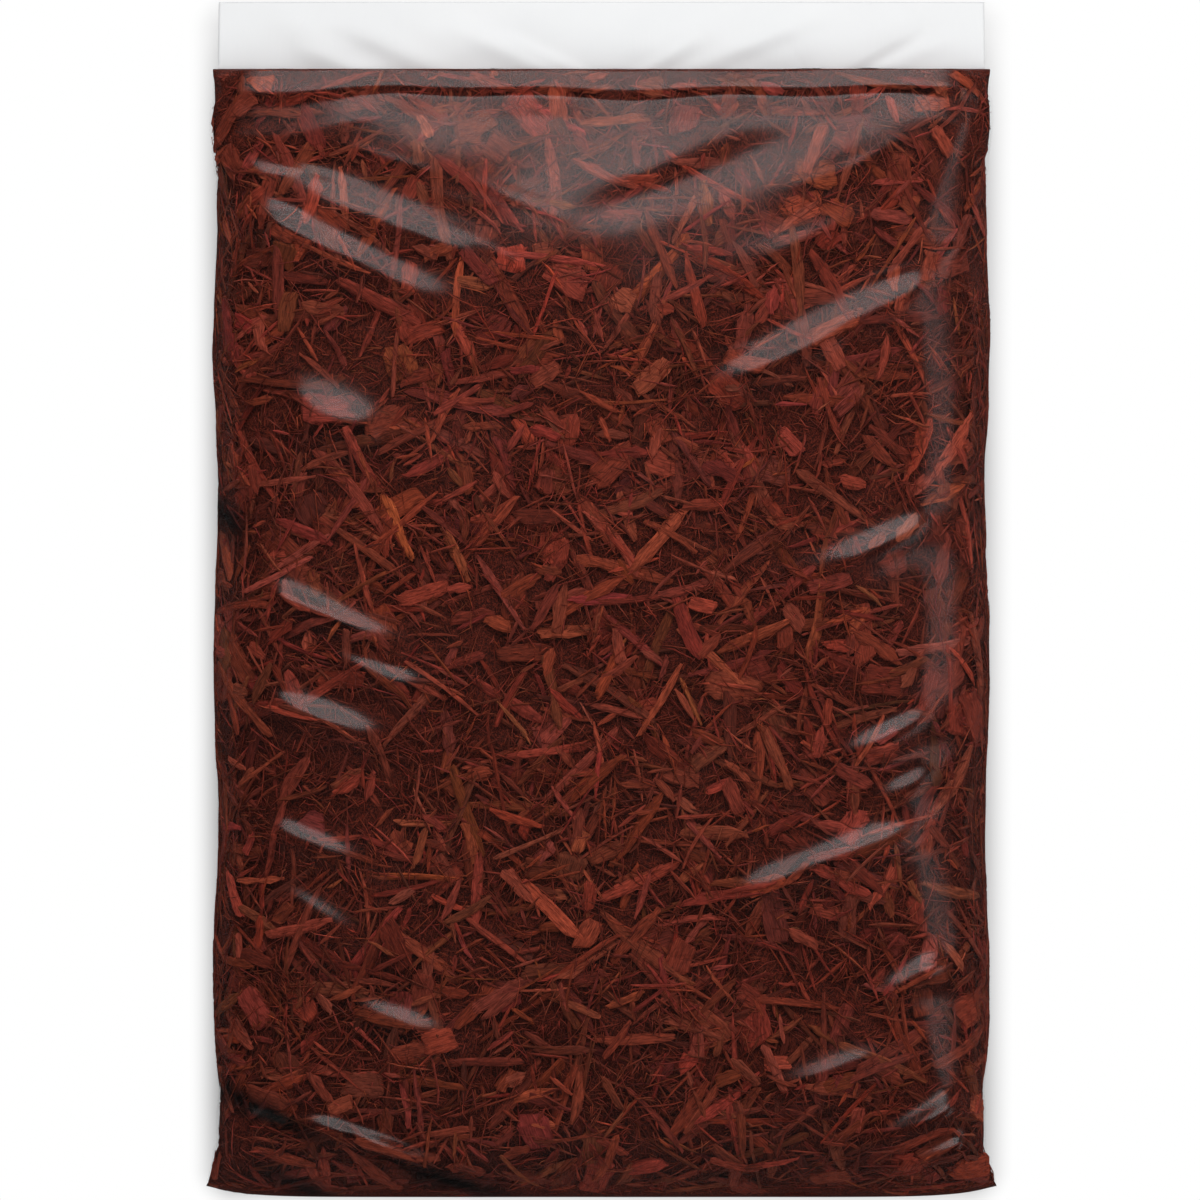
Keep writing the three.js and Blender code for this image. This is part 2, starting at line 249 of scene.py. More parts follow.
def drawn_film(mesh):
    """The mesh's points with a roll and a crease drawn up below the weld, and the ends let out."""
    points = vertex_vectors(mesh, "co")
    normals = vertex_vectors(mesh, "normal")
    tree = surface_tree(mesh)
    runs, rises = np.array(ROLL_PROFILE).T * MM
    across = np.linspace(-ROLL_HALF_WIDTH, ROLL_HALF_WIDTH, SHOULDER_POINTS)
    down = Vector((0, 0, -1))
    shoulder = [tree.ray_cast(Vector((x, weld_y - SHOULDER_RUN, 1)), down)[0].z for x in across]
    from_weld = weld_y - points[:, 1]
    middle = np.clip((CREASE_HALF_WIDTH - np.abs(points[:, 0] - CREASE_MIDDLE)) / CREASE_FADE, 0, 1)
    crease = CREASE_DEPTH_SIDES + (CREASE_DEPTH_MIDDLE - CREASE_DEPTH_SIDES) * middle
    crease = crease * np.clip((SHOULDER_RUN - from_weld) / (SHOULDER_RUN - runs[-1]), 0, 1)
    target = np.interp(points[:, 0], across, shoulder) - crease + np.interp(from_weld, runs, rises)
    front = (from_weld < SHOULDER_RUN) & (normals[:, 2] > ROLL_FACING)
    share = front * np.clip(from_weld / runs[1], 0, 1)
    share = share * np.clip((ROLL_HALF_WIDTH - np.abs(points[:, 0])) / ROLL_SIDE_FADE, 0, 1)
    points[:, 2] += (target - points[:, 2]) * share
    at_weld = crease_height(points[:, 0], np.zeros(len(points)), np.array(HEADER_FOLDS) * MM)
    points[:, 2] += at_weld * front * np.clip(1 - from_weld / WELD_FOLD_RUN, 0, 1)
    turns = 2 * math.pi * points[:, :1] / np.array(ROLL_SWAY_PITCHES)
    sway = ROLL_SWAY * np.sin(turns + ROLL_SWAY_PHASES).mean(1)
    sway += ROLL_LEFT_SAG * np.clip((ROLL_LEFT_FROM - points[:, 0]) / ROLL_LEFT_RUN, 0, 1)
    points[:, 1] -= from_weld * sway * np.clip(2 - from_weld / SHOULDER_RUN, 0, 1)
    for height, reach, widening in WAISTS:
        points[:, 0] *= 1 + widening * np.exp(-(((points[:, 1] - seal_y - height) / reach) ** 2))
    return points


def set_points(mesh, points):
    mesh.vertices.foreach_set("co", points.astype(np.float32).ravel())
    mesh.update()


film_mesh = smoothed_mesh(solid_beside_weld(header_side=False), "clear_film", FILM_LEVELS)
film_points = drawn_film(film_mesh)
set_points(film_mesh, film_points)
film_normals = vertex_vectors(film_mesh, "normal")
facing_up = np.clip((film_normals[:, 2] - LIFT_FROM) / LIFT_RUN, 0, 1)
creases = slack_creases(SLACK_COUNT, seed=11) + (np.array(FOLD_BACKS) * MM).tolist()
lift = crease_height(film_points[:, 0], film_points[:, 1] - seal_y, creases) * facing_up
crumple = np.array([noise.noise(Vector(p) * CRUMPLE_GRAIN) for p in film_points])
crumple = CRUMPLE * crumple * np.clip(CRUMPLE_FLAT - np.abs(film_normals[:, 2]), 0, CRUMPLE_MOST)
film_points += film_normals * crumple[:, None]
film_points[:, 2] += lift
set_points(film_mesh, film_points)
film_mesh.shade_smooth()
film = bpy.data.objects.new("clear_film", film_mesh)
bpy.context.scene.collection.objects.link(film)


class Shade:
    """A socket of a material. Arithmetic on it adds Math nodes, and node() adds any other node."""

    def __init__(self, tree, socket=None):
        self.tree = tree
        self.socket = socket

    def node(self, kind, settings=None, inputs=None, output=0):
        made = self.tree.nodes.new("ShaderNode" + kind)
        for name, value in (settings or {}).items():
            if name == "stops":
                for element, (place, colour) in zip(made.color_ramp.elements, value):
                    element.position = place
                    element.color = colour
            else:
                setattr(made, name, value)
        for key, value in (inputs or {}).items():
            if isinstance(value, Shade):
                self.tree.links.new(value.socket, made.inputs[key])
            else:
                made.inputs[key].default_value = value
        return Shade(self.tree, made.outputs[output] if made.outputs else None)

    def math(self, operation, first, second):
        return self.node("Math", {"operation": operation}, {0: first, 1: second})

    def __add__(self, other):
        return self.math("ADD", self, other)

    def __radd__(self, other):
        return self.math("ADD", other, self)

    def __sub__(self, other):
        return self.math("SUBTRACT", self, other)

    def __rsub__(self, other):
        return self.math("SUBTRACT", other, self)

    def __mul__(self, other):
        return self.math("MULTIPLY", self, other)

    def __rmul__(self, other):
        return self.math("MULTIPLY", other, self)

    def __pow__(self, other):
        return self.math("POWER", self, other)

    def mixed(self, first, second):
        """Two colours mixed by this value."""
        settings = {"data_type": "RGBA", "clamp_factor": True}
        return self.node("Mix", settings, {0: self, 6: first, 7: second}, output=2)

    def tinted(self, colour):
        """This colour times another."""
        settings = {"data_type": "RGBA", "blend_type": "MULTIPLY"}
        return self.node("Mix", settings, {0: 1.0, 6: self, 7: colour}, output=2)

    def scaled(self, factors):
        """This vector times another, part by part."""
        return self.node("VectorMath", {"operation": "MULTIPLY"}, {0: self, 1: factors})


def new_finish(name):
    """An empty material and the start of its shader."""
    material = bpy.data.materials.new(name)
    material.use_nodes = True
    material.node_tree.nodes.clear()
    return material, Shade(material.node_tree)


def clear_film_finish():
    """Thin clear film: what is under it shows, and its folds catch the lamps."""
    material, shade = new_finish("clear_film")
    place = shade.node("TexCoord", output="Object")
    cloud = shade.node("TexNoise", inputs={"Vector": place, "Scale": 9.0, "Detail": 1.0})
    haze = shade.node("TexNoise", inputs={"Vector": place, "Scale": 60.0, "Detail": 1.0})
    facing = shade.node("LayerWeight", inputs={"Blend": 0.5}, output="Facing")
    gloss_share = GLOSS_PLAIN + GLOSS_CLOUD * cloud + GLOSS_EDGE * facing**3.0
    ripple = shade.node("Bump", inputs={"Strength": 0.1, "Distance": 0.001, "Height": haze})
    clear = shade.node("BsdfTransparent")
    roughness = GLOSS_ROUGHNESS + GLOSS_ROUGHNESS_HAZE * haze
    gloss = shade.node("BsdfGlossy", inputs={"Roughness": roughness, "Normal": ripple})
    mixed = shade.node("MixShader", inputs={0: gloss_share, 1: clear, 2: gloss})
    shade.node("OutputMaterial", inputs={"Surface": mixed})
    return material


film_mesh.materials.clear()
film_mesh.materials.append(clear_film_finish())
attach(film, "root")
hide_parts("mulch_bag")

# Mulch bed: the mass of loose mulch behind the outer shreds, its colour painted dark as shade because
# little light gets in. It is one rough body a few millimetres inside the film.

BED_LEVELS = 1
BED_INSET = 0.0065
BED_SIDE_SHARE = 0.16
BED_SIDE_FACING = 0.12
BED_SIDE_RUN = 0.4
BED_ROUGHNESS = 0.0016
BED_GRAIN = 90.0
BED_THIN_SHARE = 0.25
BED_END_RUN = 0.014
INSIDE_FILM = 1e-4

# Painted shade of the gaps between the threads, painted light of the threads, and the painted shadow
# under deep folds
BED_GAP_SHADE = (0.030, 0.0050, 0.0028, 1)
BED_LIT = (0.240, 0.034, 0.0165, 1)
BED_UNLIT = (0.003, 0.001, 0.001, 1)

# Painted shadows where deep folds of the film shut out the light, put into the colour of the bed and the
# pieces: both ends of the fold across and above the seal in millimetres, the share of light lost, and
# how far it reaches above and below
FOLD_SHADOWS = [
    (-310, 95, -226, 55, 1.0, 8, 9),
    (-252, 68, -194, 40, 0.8, 5, 5),
    (-170, 30, -60, 0, 1.0, 7, 8),
    (-264, 30, -192, -6, 0.9, 7, 8),
    (-304, 538, -264, 492, 1.0, 8, 9),
]


def light_left(points):
    """The share of light that folds of the film leave at each point of the mulch, painted into its
    colour as shade.
    """
    lost = crease_height(points[:, 0] / MM, (points[:, 1] - seal_y) / MM, FOLD_SHADOWS)
    return 1 - np.clip(lost, 0, 1)


bed_mesh = smoothed_mesh(solid_beside_weld(header_side=False), "mulch_bed", BED_LEVELS)
bed_points = drawn_film(bed_mesh)
set_points(bed_mesh, bed_points)
bed_normals = vertex_vectors(bed_mesh, "normal")
bed_tree = surface_tree(bed_mesh)
reach = [
    bed_tree.ray_cast(Vector(p - n * INSIDE_FILM), Vector(-n))[3]
    for p, n in zip(bed_points, bed_normals)
]
thin = np.array([BED_INSET if r is None else r * BED_THIN_SHARE for r in reach])
rough = np.array([noise.noise(Vector(p) * BED_GRAIN) for p in bed_points])
from_end = np.minimum(bed_points[:, 1] - seal_y, weld_y - bed_points[:, 1])
flatness = np.clip((np.abs(bed_normals[:, 2]) - BED_SIDE_FACING) / BED_SIDE_RUN, 0, 1)
inset = (BED_INSET + BED_ROUGHNESS * rough) * (BED_SIDE_SHARE + (1 - BED_SIDE_SHARE) * flatness)
inset = np.minimum(inset, thin) * np.clip(from_end / BED_END_RUN, 0, 1)
bed_points -= bed_normals * inset[:, None]
set_points(bed_mesh, bed_points)
bed_mesh.shade_smooth()
# Painted fold shadows, carried to the bed's colour
bed_mesh.attributes.new("light", "FLOAT", "POINT").data.foreach_set("value", light_left(bed_points))
bed = bpy.data.objects.new("mulch_bed", bed_mesh)
bpy.context.scene.collection.objects.link(bed)


def mulch_bed_finish():
    """Fine shreds, too deep and too small to be pieces of their own, in colours painted dark as shade:
    lit threads over shaded gaps, and painted shadow under deep folds of the film.
    """
    material, shade = new_finish("mulch_bed")
    place = shade.node("TexCoord", output="Object")
    threads = 0.0
    for pitch, shift in ((85.0, 0.0), (110.0, 0.37), (60.0, 0.81)):
        spot = shade.node("VectorMath", {"operation": "ADD"}, {0: place, 1: (shift, shift, shift)})
        tuft = shade.node("TexVoronoi", inputs={"Vector": spot, "Scale": pitch}, output="Color")
        turned = shade.node(
            "VectorRotate",
            {"rotation_type": "EULER_XYZ"},
            {"Vector": spot, "Rotation": tuft.scaled((6.3, 6.3, 6.3))},
        )
        strands = shade.node(
            "TexNoise",
            inputs={"Vector": turned.scaled((900.0, 80.0, 900.0)), "Scale": 1.0, "Detail": 2.0},
        )
        threads = shade.math("MAXIMUM", strands, threads)
    # Painted light and shade: lit threads over shaded gaps, then the painted fold shadows from the light
    # attribute
    lit = shade.node("MapRange", inputs={"Value": threads, "From Min": 0.5, "From Max": 0.8})
    light = shade.node("Attribute", {"attribute_name": "light"}, output="Fac")
    colour = lit.mixed(BED_GAP_SHADE, BED_LIT)
    colour = light.mixed(BED_UNLIT, colour)
    bump = shade.node("Bump", inputs={"Strength": 1.0, "Distance": 0.0015, "Height": threads})
    surface = shade.node(
        "BsdfPrincipled",
        inputs={"Base Color": colour, "Roughness": 0.8, "Specular IOR Level": 0.08, "Normal": bump},
    )
    shade.node("OutputMaterial", inputs={"Surface": surface})
    return material


bed_mesh.materials.clear()
bed_mesh.materials.append(mulch_bed_finish())
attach(bed, "root")

# Outer mulch: chips, shreds, splinters and fibres of dyed wood that lie flat against the film.
# Each is a closed sliver of wood laid on the bag's own surface, just under the film, so that it
# bends with it. They differ in size, taper, curl, depth and dye, and their dye is painted darker as
# shade the deeper they lie.

FILM_CLEARANCE = 0.0005
END_CLEARANCE = 0.002

# Pieces on the hidden back, and how many are tried for each one wanted. A piece that the film's form
# cuts short is left out, and pieces on upright film lie close behind it.
BACK_FACING = -0.8
BACK_SHARE = 0.12
TRIES_EACH = 2.4
STRETCH_KEPT = 0.93
LEVEL_FACING = 0.6
ALONG_BAG = 0.8

# How pieces gather, wave, run out to their tips and take their grain
CLUMP_CONTRAST = 0.9
WAVE_TURNS = (4, 9)
TIP_ROUNDING = 0.8
TIP_THICKENING = 0.25
TIP_THICKNESS = 0.3
GRAIN_SIDE = 0.7
GRAIN_SHIFT = 50

# Dye shades, from shaded brown to bright red where fresh wood shows
DYES = np.array(
    [
        (0.118, 0.0182, 0.0090),
        (0.174, 0.0264, 0.0132),
        (0.228, 0.0350, 0.0177),
        (0.285, 0.0462, 0.0237),
        (0.370, 0.0650, 0.0336),
    ]
)
DYE_SPREAD = (0.10, 0.11, 0.13)

# What the grain and the uneven dye make of a shade
STREAK_DARK = (0.34, 0.28, 0.27, 1)
STREAK_LIGHT = (1.5, 1.55, 1.55, 1)
BLOTCH_DARK = (0.42, 0.40, 0.40, 1)
BLOTCH_LIGHT = (1.6, 1.6, 1.6, 1)

film_tree = surface_tree(film_mesh)
film_areas = np.empty(len(film_mesh.polygons), np.float32)
film_mesh.polygons.foreach_get("area", film_areas)
face_normals = np.empty(len(film_mesh.polygons) * 3, np.float32)
film_mesh.polygons.foreach_get("normal", face_normals)
face_normals = face_normals.reshape(-1, 3)
face_centres = np.empty(len(film_mesh.polygons) * 3, np.float32)
film_mesh.polygons.foreach_get("center", face_centres)
face_centres = face_centres.reshape(-1, 3).astype(float)
face_chance = film_areas * np.where(face_normals[:, 2] < BACK_FACING, BACK_SHARE, 1.0)
face_chance = face_chance / face_chance.sum()


def on_film(points):
    """The nearest places on the film and its normals there."""
    found = [film_tree.find_nearest(p) for p in points.reshape(-1, 3).tolist()]
    places = np.array([f[0] for f in found]).reshape(points.shape)
    normals = np.array([f[1] for f in found]).reshape(points.shape)
    return places, normals


def unit(vectors):
    return vectors / np.maximum(np.linalg.norm(vectors, axis=-1, keepdims=True), 1e-12)


def clumping(points, pitch, offset):
    """A slow random value from 0 to 1, by which big pieces gather in some places."""
    found = [noise.noise(Vector(p) / pitch + Vector((offset, 0, 0))) for p in points]
    return np.clip(0.5 + CLUMP_CONTRAST * np.array(found), 0, 1)


def lay_wood(name, kind):
    """One object holding many pieces of wood of one kind, laid under the film."""
    chance = np.random.default_rng(kind["seed"])
    count = kind["count"]
    stations = kind["stations"]
    section = np.array(kind["section"], float)
    tufts = int(count * TRIES_EACH / kind["tuft"])

    start = np.repeat(chance.choice(len(face_chance), tufts, p=face_chance), kind["tuft"])
    turn = np.repeat(chance.uniform(0, 2 * math.pi, tufts), kind["tuft"])
    turn = (turn + chance.normal(0, kind["fan"], len(turn)))[:, None]
    centres = face_centres[start] + chance.normal(0, kind["spread"], (len(start), 3))
    gathered = clumping(centres, kind["clump_pitch"], kind["seed"])
    wanted = chance.uniform(0, 1, len(start)) < 1 - kind["clumped"] * (1 - gathered)
    start, turn, centres = start[wanted], turn[wanted], centres[wanted]
    tries = len(centres)

    normals = face_normals[start].astype(float)
    across_axis = np.where(np.abs(normals[:, 1:2]) > ALONG_BAG, (1.0, 0, 0), (0, 1.0, 0))
    first_axis = unit(np.cross(across_axis, normals))
    second_axis = np.cross(normals, first_axis)
    heading = first_axis * np.cos(turn) + second_axis * np.sin(turn)
    sideways = np.cross(normals, heading)

    shape = chance.uniform(0, 1, (tries, 1)) ** kind["small_bias"]
    length = kind["length"][0] + (kind["length"][1] - kind["length"][0]) * shape
    width = kind["width"][0] + (kind["width"][1] - kind["width"][0]) * chance.uniform(0, 1, (tries, 1))
    thickness = chance.uniform(*kind["thickness"], (tries, 1))
    along = 0.5 - 0.5 * np.cos(np.linspace(0, math.pi, stations))[None, :]
    spine = (along - 0.5) * length
    curl = chance.normal(0, kind["curl"], (tries, 1))
    bow = curl * length * ((2 * along - 1) ** 2 - 1 / 3)
    wave = kind["wave"] * length * np.sin(along * chance.uniform(*WAVE_TURNS, (tries, 1)) + turn)
    laid = centres[:, None, :] + heading[:, None, :] * spine[..., None]
    laid = laid + sideways[:, None, :] * (bow + wave)[..., None]
    flat_length = np.linalg.norm(np.diff(laid, axis=1), axis=2).sum(1)
    places, normals = on_film(laid)
    true_length = np.linalg.norm(np.diff(places, axis=1), axis=2).sum(1)
    whole = np.flatnonzero(true_length > STRETCH_KEPT * flat_length)[:count]

    places, normals = places[whole], normals[whole]
    length, width, thickness = length[whole], width[whole], thickness[whole]
    pieces = len(whole)
    forward = unit(np.gradient(places, axis=1))
    sideways = unit(np.cross(normals, forward))

    blunt = chance.uniform(*kind["taper"], (pieces, 2))
    from_tip = np.minimum(along / blunt[:, :1], (1 - along) / blunt[:, 1:])
    breadth = np.clip(from_tip, kind["tip"], 1) ** TIP_ROUNDING
    breadth = breadth * (1 + chance.normal(0, kind["ragged"], (pieces, stations)))
    half_width = width / 2 * breadth
    half_thick = thickness / 2 * np.clip(from_tip + TIP_THICKENING, TIP_THICKNESS, 1)

    level = np.clip(np.abs(normals[..., 2]).mean(1, keepdims=True) / LEVEL_FACING, 0, 1)
    buried = chance.uniform(0, 1, (pieces, 1)) ** kind["depth_bias"]
    depth = FILM_CLEARANCE + kind["depth"] * buried * level
    dive = chance.normal(0, kind["dive"], (pieces, 1)) * level * length * (along - 0.5)
    roll = chance.normal(0, kind["roll"], (pieces, 1))
    sunk = np.maximum(depth + dive, FILM_CLEARANCE) + thickness / 2 + np.abs(roll) * width / 2
    jitter = 1 + chance.normal(0, kind["facet"], (pieces, stations, len(section), 2))
    out = section[None, None, :, 0] * jitter[..., 0] * half_width[..., None]
    up = section[None, None, :, 1] * jitter[..., 1] * half_thick[..., None] + out * roll[..., None]
    broken = chance.normal(0, kind["broken"], (pieces, stations, len(section), 1)) * width[:, None, None]
    corners = places[:, :, None, :] + sideways[:, :, None, :] * out[..., None]
    corners = corners + normals[:, :, None, :] * (up - sunk[..., None])[..., None]
    slant = chance.normal(0, kind["slant"], (pieces, 2))
    slant = np.where(along < 0.5, slant[:, :1], slant[:, 1:]) * np.abs(2 * along - 1) ** 3
    corners = corners + forward[:, :, None, :] * (broken + (slant[..., None] * out)[..., None])

    corners[..., 1] = np.clip(corners[..., 1], seal_y + END_CLEARANCE, weld_y - END_CLEARANCE)
    for _ in range(2):
        touch, away = on_film(corners)
        gap = ((touch - corners) * away).sum(-1)
        corners -= away * np.maximum(FILM_CLEARANCE - gap, 0)[..., None]
    halfway = (corners[:, 1:] + corners[:, :-1]) / 2
    touch, away = on_film(np.concatenate([corners, halfway], axis=1))
    gap = ((touch - np.concatenate([corners, halfway], axis=1)) * away).sum(-1)
    inside = (gap > 0).all((1, 2))
    corners, out, up = corners[inside], out[inside], up[inside]
    buried, length = buried[inside], length[inside]
    pieces = len(corners)

    ring = len(section)
    first = np.arange(stations - 1)[:, None] * ring + np.arange(ring)[None, :]
    after = np.arange(stations - 1)[:, None] * ring + (np.arange(ring)[None, :] + 1) % ring
    sides = np.stack([first, after, after + ring, first + ring], -1).reshape(-1, 4)
    start_cap = np.arange(ring)[::-1]
    end_cap = np.arange(ring) + (stations - 1) * ring
    faces = []
    for piece in range(pieces):
        base = piece * stations * ring
        faces.extend((sides + base).tolist())
        faces.append((start_cap + base).tolist())
        faces.append((end_cap + base).tolist())

    mesh = bpy.data.meshes.new(name)
    mesh.from_pydata(corners.reshape(-1, 3).tolist(), [], faces)
    mesh.update()
    mesh.shade_flat()
    if kind["smooth"]:
        mesh.shade_smooth()

    tone = chance.beta(*kind["dye"], (pieces, 1)) * (len(DYES) - 1)
    below = np.clip(tone.astype(int), 0, len(DYES) - 2)[:, 0]
    share = tone - below[:, None]
    dye = DYES[below] * (1 - share) + DYES[below + 1] * share
    dye = dye * np.exp(chance.normal(0, DYE_SPREAD, (pieces, 3)))
    # Painted shade: a piece's dye is made darker the deeper it lies, so the dye attribute holds dye and
    # painted shade together
    dye = dye * (1 - kind["shadow"] * buried)
    # Painted fold shadows darken the dye of the pieces
    dye = np.repeat(dye, stations * ring, axis=0) * light_left(corners.reshape(-1, 3))[:, None]
    dye = np.concatenate([dye, np.ones((len(dye), 1))], axis=1)
    mesh.attributes.new("dye", "FLOAT_COLOR", "POINT").data.foreach_set("color", dye.ravel())

    grain = np.zeros((pieces, stations, ring, 3))
    grain[..., 0] = (along * length)[..., None]
    grain[..., 1] = out + GRAIN_SIDE * up
    grain[..., 2] = chance.uniform(0, GRAIN_SHIFT, (pieces, 1, 1))
    mesh.attributes.new("grain", "FLOAT_VECTOR", "POINT").data.foreach_set("vector", grain.ravel())

    laid_wood = bpy.data.objects.new(name, mesh)
    bpy.context.scene.collection.objects.link(laid_wood)
    mesh.materials.append(dyed_wood)
    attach(laid_wood, "root")


def dyed_wood_finish():
    """Torn wood: streaks along the grain, uneven dye with painted shade in it, and dull except on the
    torn fibres.
    """
    material, shade = new_finish("dyed_wood")
    # The dye attribute holds each piece's dye with painted shade: darker the deeper it lies, and painted
    # shadow under deep folds of the film
    dye = shade.node("Attribute", {"attribute_name": "dye"}, output="Color")
    grain = shade.node("Attribute", {"attribute_name": "grain"}, output="Vector")
    streaks = shade.node(
        "TexNoise",
        inputs={
            "Vector": grain.scaled((110.0, 1000.0, 1.0)),
            "Scale": 1.0,
            "Detail": 5.0,
            "Roughness": 0.7,
            "Distortion": 0.5,
        },
    )
    blotches = shade.node(
        "TexNoise",
        inputs={"Vector": grain.scaled((170.0, 330.0, 1.0)), "Scale": 1.0, "Detail": 4.0},
    )
    contrast = shade.node(
        "ValToRGB",
        {"stops": [(0.33, (0, 0, 0, 1)), (0.66, (1, 1, 1, 1))]},
        {"Fac": streaks},
    )
    colour = contrast.mixed(dye.tinted(STREAK_DARK), dye.tinted(STREAK_LIGHT))
    colour = colour.tinted(blotches.mixed(BLOTCH_DARK, BLOTCH_LIGHT))
    bump = shade.node("Bump", inputs={"Strength": 0.8, "Distance": 0.0008, "Height": streaks})
    surface = shade.node(
        "BsdfPrincipled",
        inputs={
            "Base Color": colour,
            "Roughness": 0.5 + 0.35 * blotches,
            "Specular IOR Level": 0.08,
            "Normal": bump,
        },
    )
    shade.node("OutputMaterial", inputs={"Surface": surface})
    return material


dyed_wood = dyed_wood_finish()

HEXAGON = [(-0.6, 1), (-1, 0.1), (-0.6, -1), (0.6, -1), (1, 0.1), (0.6, 1)]
BLOCK = [(-0.86, 1), (-1, 0.72), (-1, -0.72), (-0.86, -1), (0.86, -1), (1, -0.72), (1, 0.72), (0.86, 1)]
DIAMOND = [(0, 1), (-1, 0), (0, -1), (1, 0)]
WEDGE = [(0, 1), (-1, -0.6), (1, -0.6)]

KINDS = {
    "wood_chunks": dict(
        count=290, stations=8, section=BLOCK, length=(0.017, 0.044), width=(0.009, 0.024),
        thickness=(0.004, 0.008), taper=(0.03, 0.14), tip=0.7, ragged=0.07, facet=0.06, broken=0.05,
        slant=0.3, curl=0.01, wave=0.0, roll=0.10, dive=0.06, depth=0.0030, depth_bias=1.0,
        small_bias=1.3, tuft=1, fan=0.0, spread=0.002, clump_pitch=0.09, clumped=0.7, dye=(2.6, 2.2),
        shadow=0.3, smooth=False, seed=21,
    ),
    "wood_shreds": dict(
        count=2150, stations=7, section=HEXAGON, length=(0.018, 0.082), width=(0.0028, 0.0105),
        thickness=(0.0014, 0.0032), taper=(0.04, 0.24), tip=0.4, ragged=0.11, facet=0.13, broken=0.08,
        slant=0.7, curl=0.025, wave=0.004, roll=0.25, dive=0.06, depth=0.0038, depth_bias=1.1,
        small_bias=1.6, tuft=1, fan=0.0, spread=0.002, clump_pitch=0.07, clumped=0.6, dye=(2.1, 2.4),
        shadow=0.4, smooth=False, seed=22,
    ),
    "wood_splinters": dict(
        count=5500, stations=4, section=DIAMOND, length=(0.012, 0.046), width=(0.0010, 0.0034),
        thickness=(0.0008, 0.0020), taper=(0.1, 0.4), tip=0.2, ragged=0.12, facet=0.18, broken=0.0,
        slant=0.4, curl=0.03, wave=0.006, roll=0.3, dive=0.06, depth=0.0045, depth_bias=1.0,
        small_bias=1.5, tuft=3, fan=0.3, spread=0.005, clump_pitch=0.06, clumped=0.3, dye=(1.9, 2.5),
        shadow=0.4, smooth=False, seed=23,
    ),
    "wood_fibres_long": dict(
        count=5500, stations=4, section=WEDGE, length=(0.012, 0.040), width=(0.0005, 0.0013),
        thickness=(0.0005, 0.0010), taper=(0.2, 0.5), tip=0.2, ragged=0.10, facet=0.1, broken=0.0,
        slant=0.0, curl=0.08, wave=0.02, roll=0.2, dive=0.06, depth=0.0045, depth_bias=1.5,
        small_bias=1.3, tuft=5, fan=0.3, spread=0.005, clump_pitch=0.06, clumped=0.4, dye=(1.9, 2.5),
        shadow=0.4, smooth=True, seed=24,
    ),
    "wood_fibres_short": dict(
        count=8700, stations=3, section=WEDGE, length=(0.006, 0.022), width=(0.0005, 0.0012),
        thickness=(0.0005, 0.0010), taper=(0.2, 0.5), tip=0.25, ragged=0.10, facet=0.1, broken=0.0,
        slant=0.0, curl=0.10, wave=0.03, roll=0.2, dive=0.08, depth=0.0045, depth_bias=1.4,
        small_bias=1.2, tuft=7, fan=0.4, spread=0.004, clump_pitch=0.05, clumped=0.6, dye=(2.0, 2.5),
        shadow=0.4, smooth=True, seed=25,
    ),
    "wood_fibres_fine": dict(
        count=15500, stations=2, section=WEDGE, length=(0.004, 0.013), width=(0.0004, 0.0010),
        thickness=(0.0010, 0.0020), taper=(0.2, 0.5), tip=1.0, ragged=0.2, facet=0.1, broken=0.0,
        slant=0.0, curl=0.0, wave=0.0, roll=0.2, dive=0.12, depth=0.0050, depth_bias=1.1,
        small_bias=1.2, tuft=8, fan=0.5, spread=0.0035, clump_pitch=0.05, clumped=0.6, dye=(2.0, 2.6),
        shadow=0.4, smooth=True, seed=26,
    ),
}
for kind_name, kind in KINDS.items():
    lay_wood(kind_name, kind)

# Header: the end of the same tube above the weld, pressed flat, unfilled and white. It droops a
# little past the weld, and its folds run on over the weld into the roll.

HEADER_LEVELS = 3
HEADER_FRONT_FACING = 0.3
HEADER_THICK = 0.0008
HEADER_DULL = (0.80, 0.81, 0.82, 1)
HEADER_WHITE = (0.88, 0.885, 0.89, 1)

header_part = solid_beside_weld(header_side=True)
not_front = [face for face in header_part.faces if face.normal.z < HEADER_FRONT_FACING]
bmesh.ops.delete(header_part, geom=not_front, context="FACES")
header_mesh = smoothed_mesh(header_part, "header_film", HEADER_LEVELS)
header_points = vertex_vectors(header_mesh, "co")
above_weld = header_points[:, 1] - weld_y
header_points[:, 2] += crease_height(header_points[:, 0], above_weld, np.array(HEADER_FOLDS) * MM)
set_points(header_mesh, header_points)
header_part = bmesh.new()
header_part.from_mesh(header_mesh)
bmesh.ops.solidify(header_part, geom=header_part.faces[:], thickness=HEADER_THICK)
header_part.to_mesh(header_mesh)
header_part.free()
header_mesh.shade_smooth()
header = bpy.data.objects.new("header_film", header_mesh)
bpy.context.scene.collection.objects.link(header)


def header_film_finish():
    """White film, a little cloudy, with a satin gloss."""
    material, shade = new_finish("header_film")
    place = shade.node("TexCoord", output="Object")
    cloud = shade.node("TexNoise", inputs={"Vector": place, "Scale": 14.0, "Detail": 4.0})
    pull = shade.node(
        "TexNoise",
        inputs={"Vector": place.scaled((160.0, 30.0, 30.0)), "Scale": 1.0, "Detail": 3.0},
    )
    colour = cloud.mixed(HEADER_DULL, HEADER_WHITE)
    bump = shade.node("Bump", inputs={"Strength": 0.15, "Distance": 0.001, "Height": pull})
    surface = shade.node(
        "BsdfPrincipled",
        inputs={
            "Base Color": colour,
            "Roughness": 0.3 + 0.15 * cloud,
            "Specular IOR Level": 0.15,
            "Normal": bump,
        },
    )
    shade.node("OutputMaterial", inputs={"Surface": surface})
    return material


header_mesh.materials.clear()
header_mesh.materials.append(header_film_finish())
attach(header, "root")

# Floor: a plain white studio floor that the bag lies on. Away from the bag it runs out to plain
# white, and close to the bag it takes the bag's shadow.

